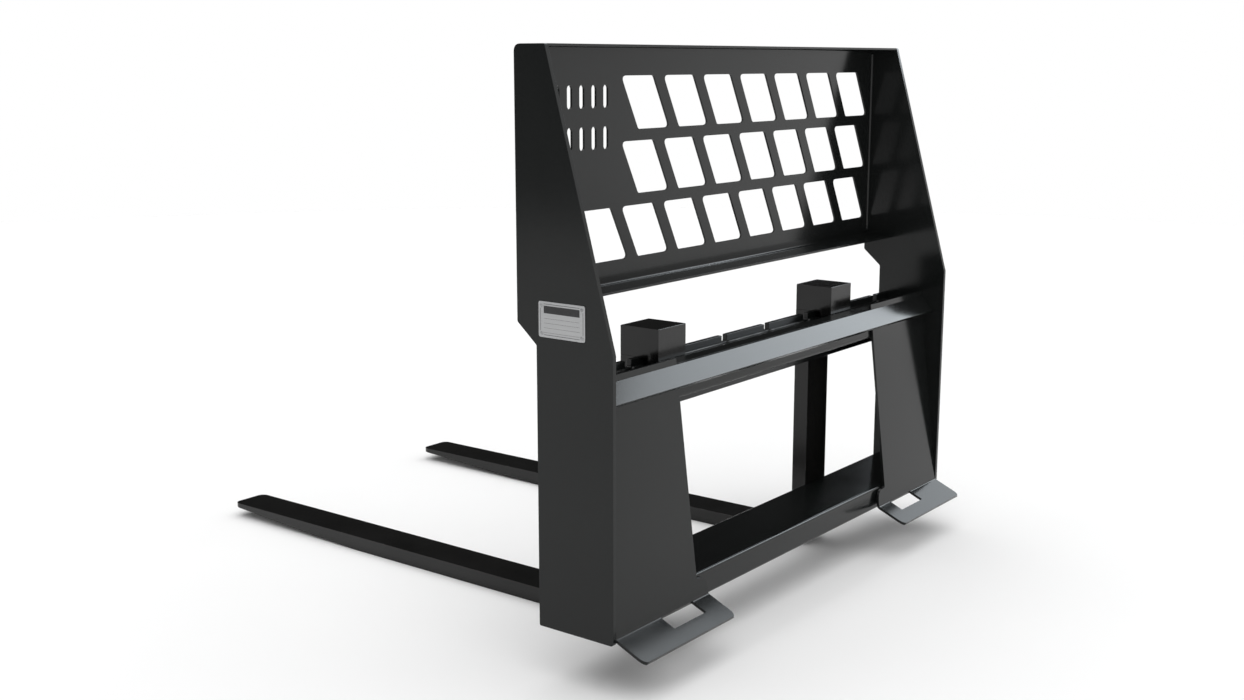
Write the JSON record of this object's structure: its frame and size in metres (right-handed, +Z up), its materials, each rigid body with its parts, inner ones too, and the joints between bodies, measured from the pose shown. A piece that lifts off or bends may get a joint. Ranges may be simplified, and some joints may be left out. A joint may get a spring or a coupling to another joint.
{
  "type": "pallet fork attachment",
  "caption": "Welded loader carriage with a windowed load guard and two L-shaped forks that slide along a notched rail.",
  "frame": {"origin": "centre of the bounding box, on the floor that the fork blades rest on", "axes": "+Z up, +Y along the fork blades towards their tips, -Y towards the loader, +X towards the right-hand fork"},
  "size_m": [1.477, 1.6643, 1.292],
  "materials": {
    "frame_paint": "satin black powder coat",
    "fork_paint": "satin black paint",
    "plate_alloy": "brushed",
    "plain_steel": "plain"
  },
  "bodies": {
    "carriage": {"left_side_plate": "frame_paint", "right_side_plate": "frame_paint", "guard_panel": "frame_paint", "fork_rail": "frame_paint", "upper_tube": "frame_paint", "coupler_lip": "frame_paint", "left_mounting_plate": "frame_paint", "right_mounting_plate": "frame_paint", "lower_crossmember": "frame_paint", "left_rating_plate": "plate_alloy", "right_rating_plate": "plate_alloy", "left_rivet_1": "plain_steel", "left_rivet_2": "plain_steel", "left_rivet_3": "plain_steel", "left_rivet_4": "plain_steel", "right_rivet_1": "plain_steel", "right_rivet_2": "plain_steel", "right_rivet_3": "plain_steel", "right_rivet_4": "plain_steel"},
    "left_fork": {"left_fork_arm": "fork_paint", "left_head_block": "fork_paint", "left_plunger_bush": "plain_steel", "left_lock_spring": "plain_steel"},
    "right_fork": {"right_fork_arm": "fork_paint", "right_head_block": "fork_paint", "right_plunger_bush": "plain_steel", "right_lock_spring": "plain_steel"},
    "left_plunger": {"left_lock_plunger": "plain_steel"},
    "right_plunger": {"right_lock_plunger": "plain_steel"}
  },
  "joints": [
    {"name": "left_fork_slide", "type": "slide", "parent": "carriage", "child": "left_fork", "axis": [1, 0, 0], "range_m": [-0.2796, 0.2796]},
    {"name": "right_fork_slide", "type": "slide", "parent": "carriage", "child": "right_fork", "axis": [1, 0, 0], "range_m": [-0.2796, 0.2796]},
    {"name": "left_plunger_lift", "type": "slide", "parent": "left_fork", "child": "left_plunger", "axis": [0, 0, 1], "range_m": [0, 0.006], "stiffness_N_per_m": 3000, "springref_m": -0.012, "deforming": ["left_lock_spring"]},
    {"name": "right_plunger_lift", "type": "slide", "parent": "right_fork", "child": "right_plunger", "axis": [0, 0, 1], "range_m": [0, 0.006], "stiffness_N_per_m": 3000, "springref_m": -0.012, "deforming": ["right_lock_spring"]}
  ]
}
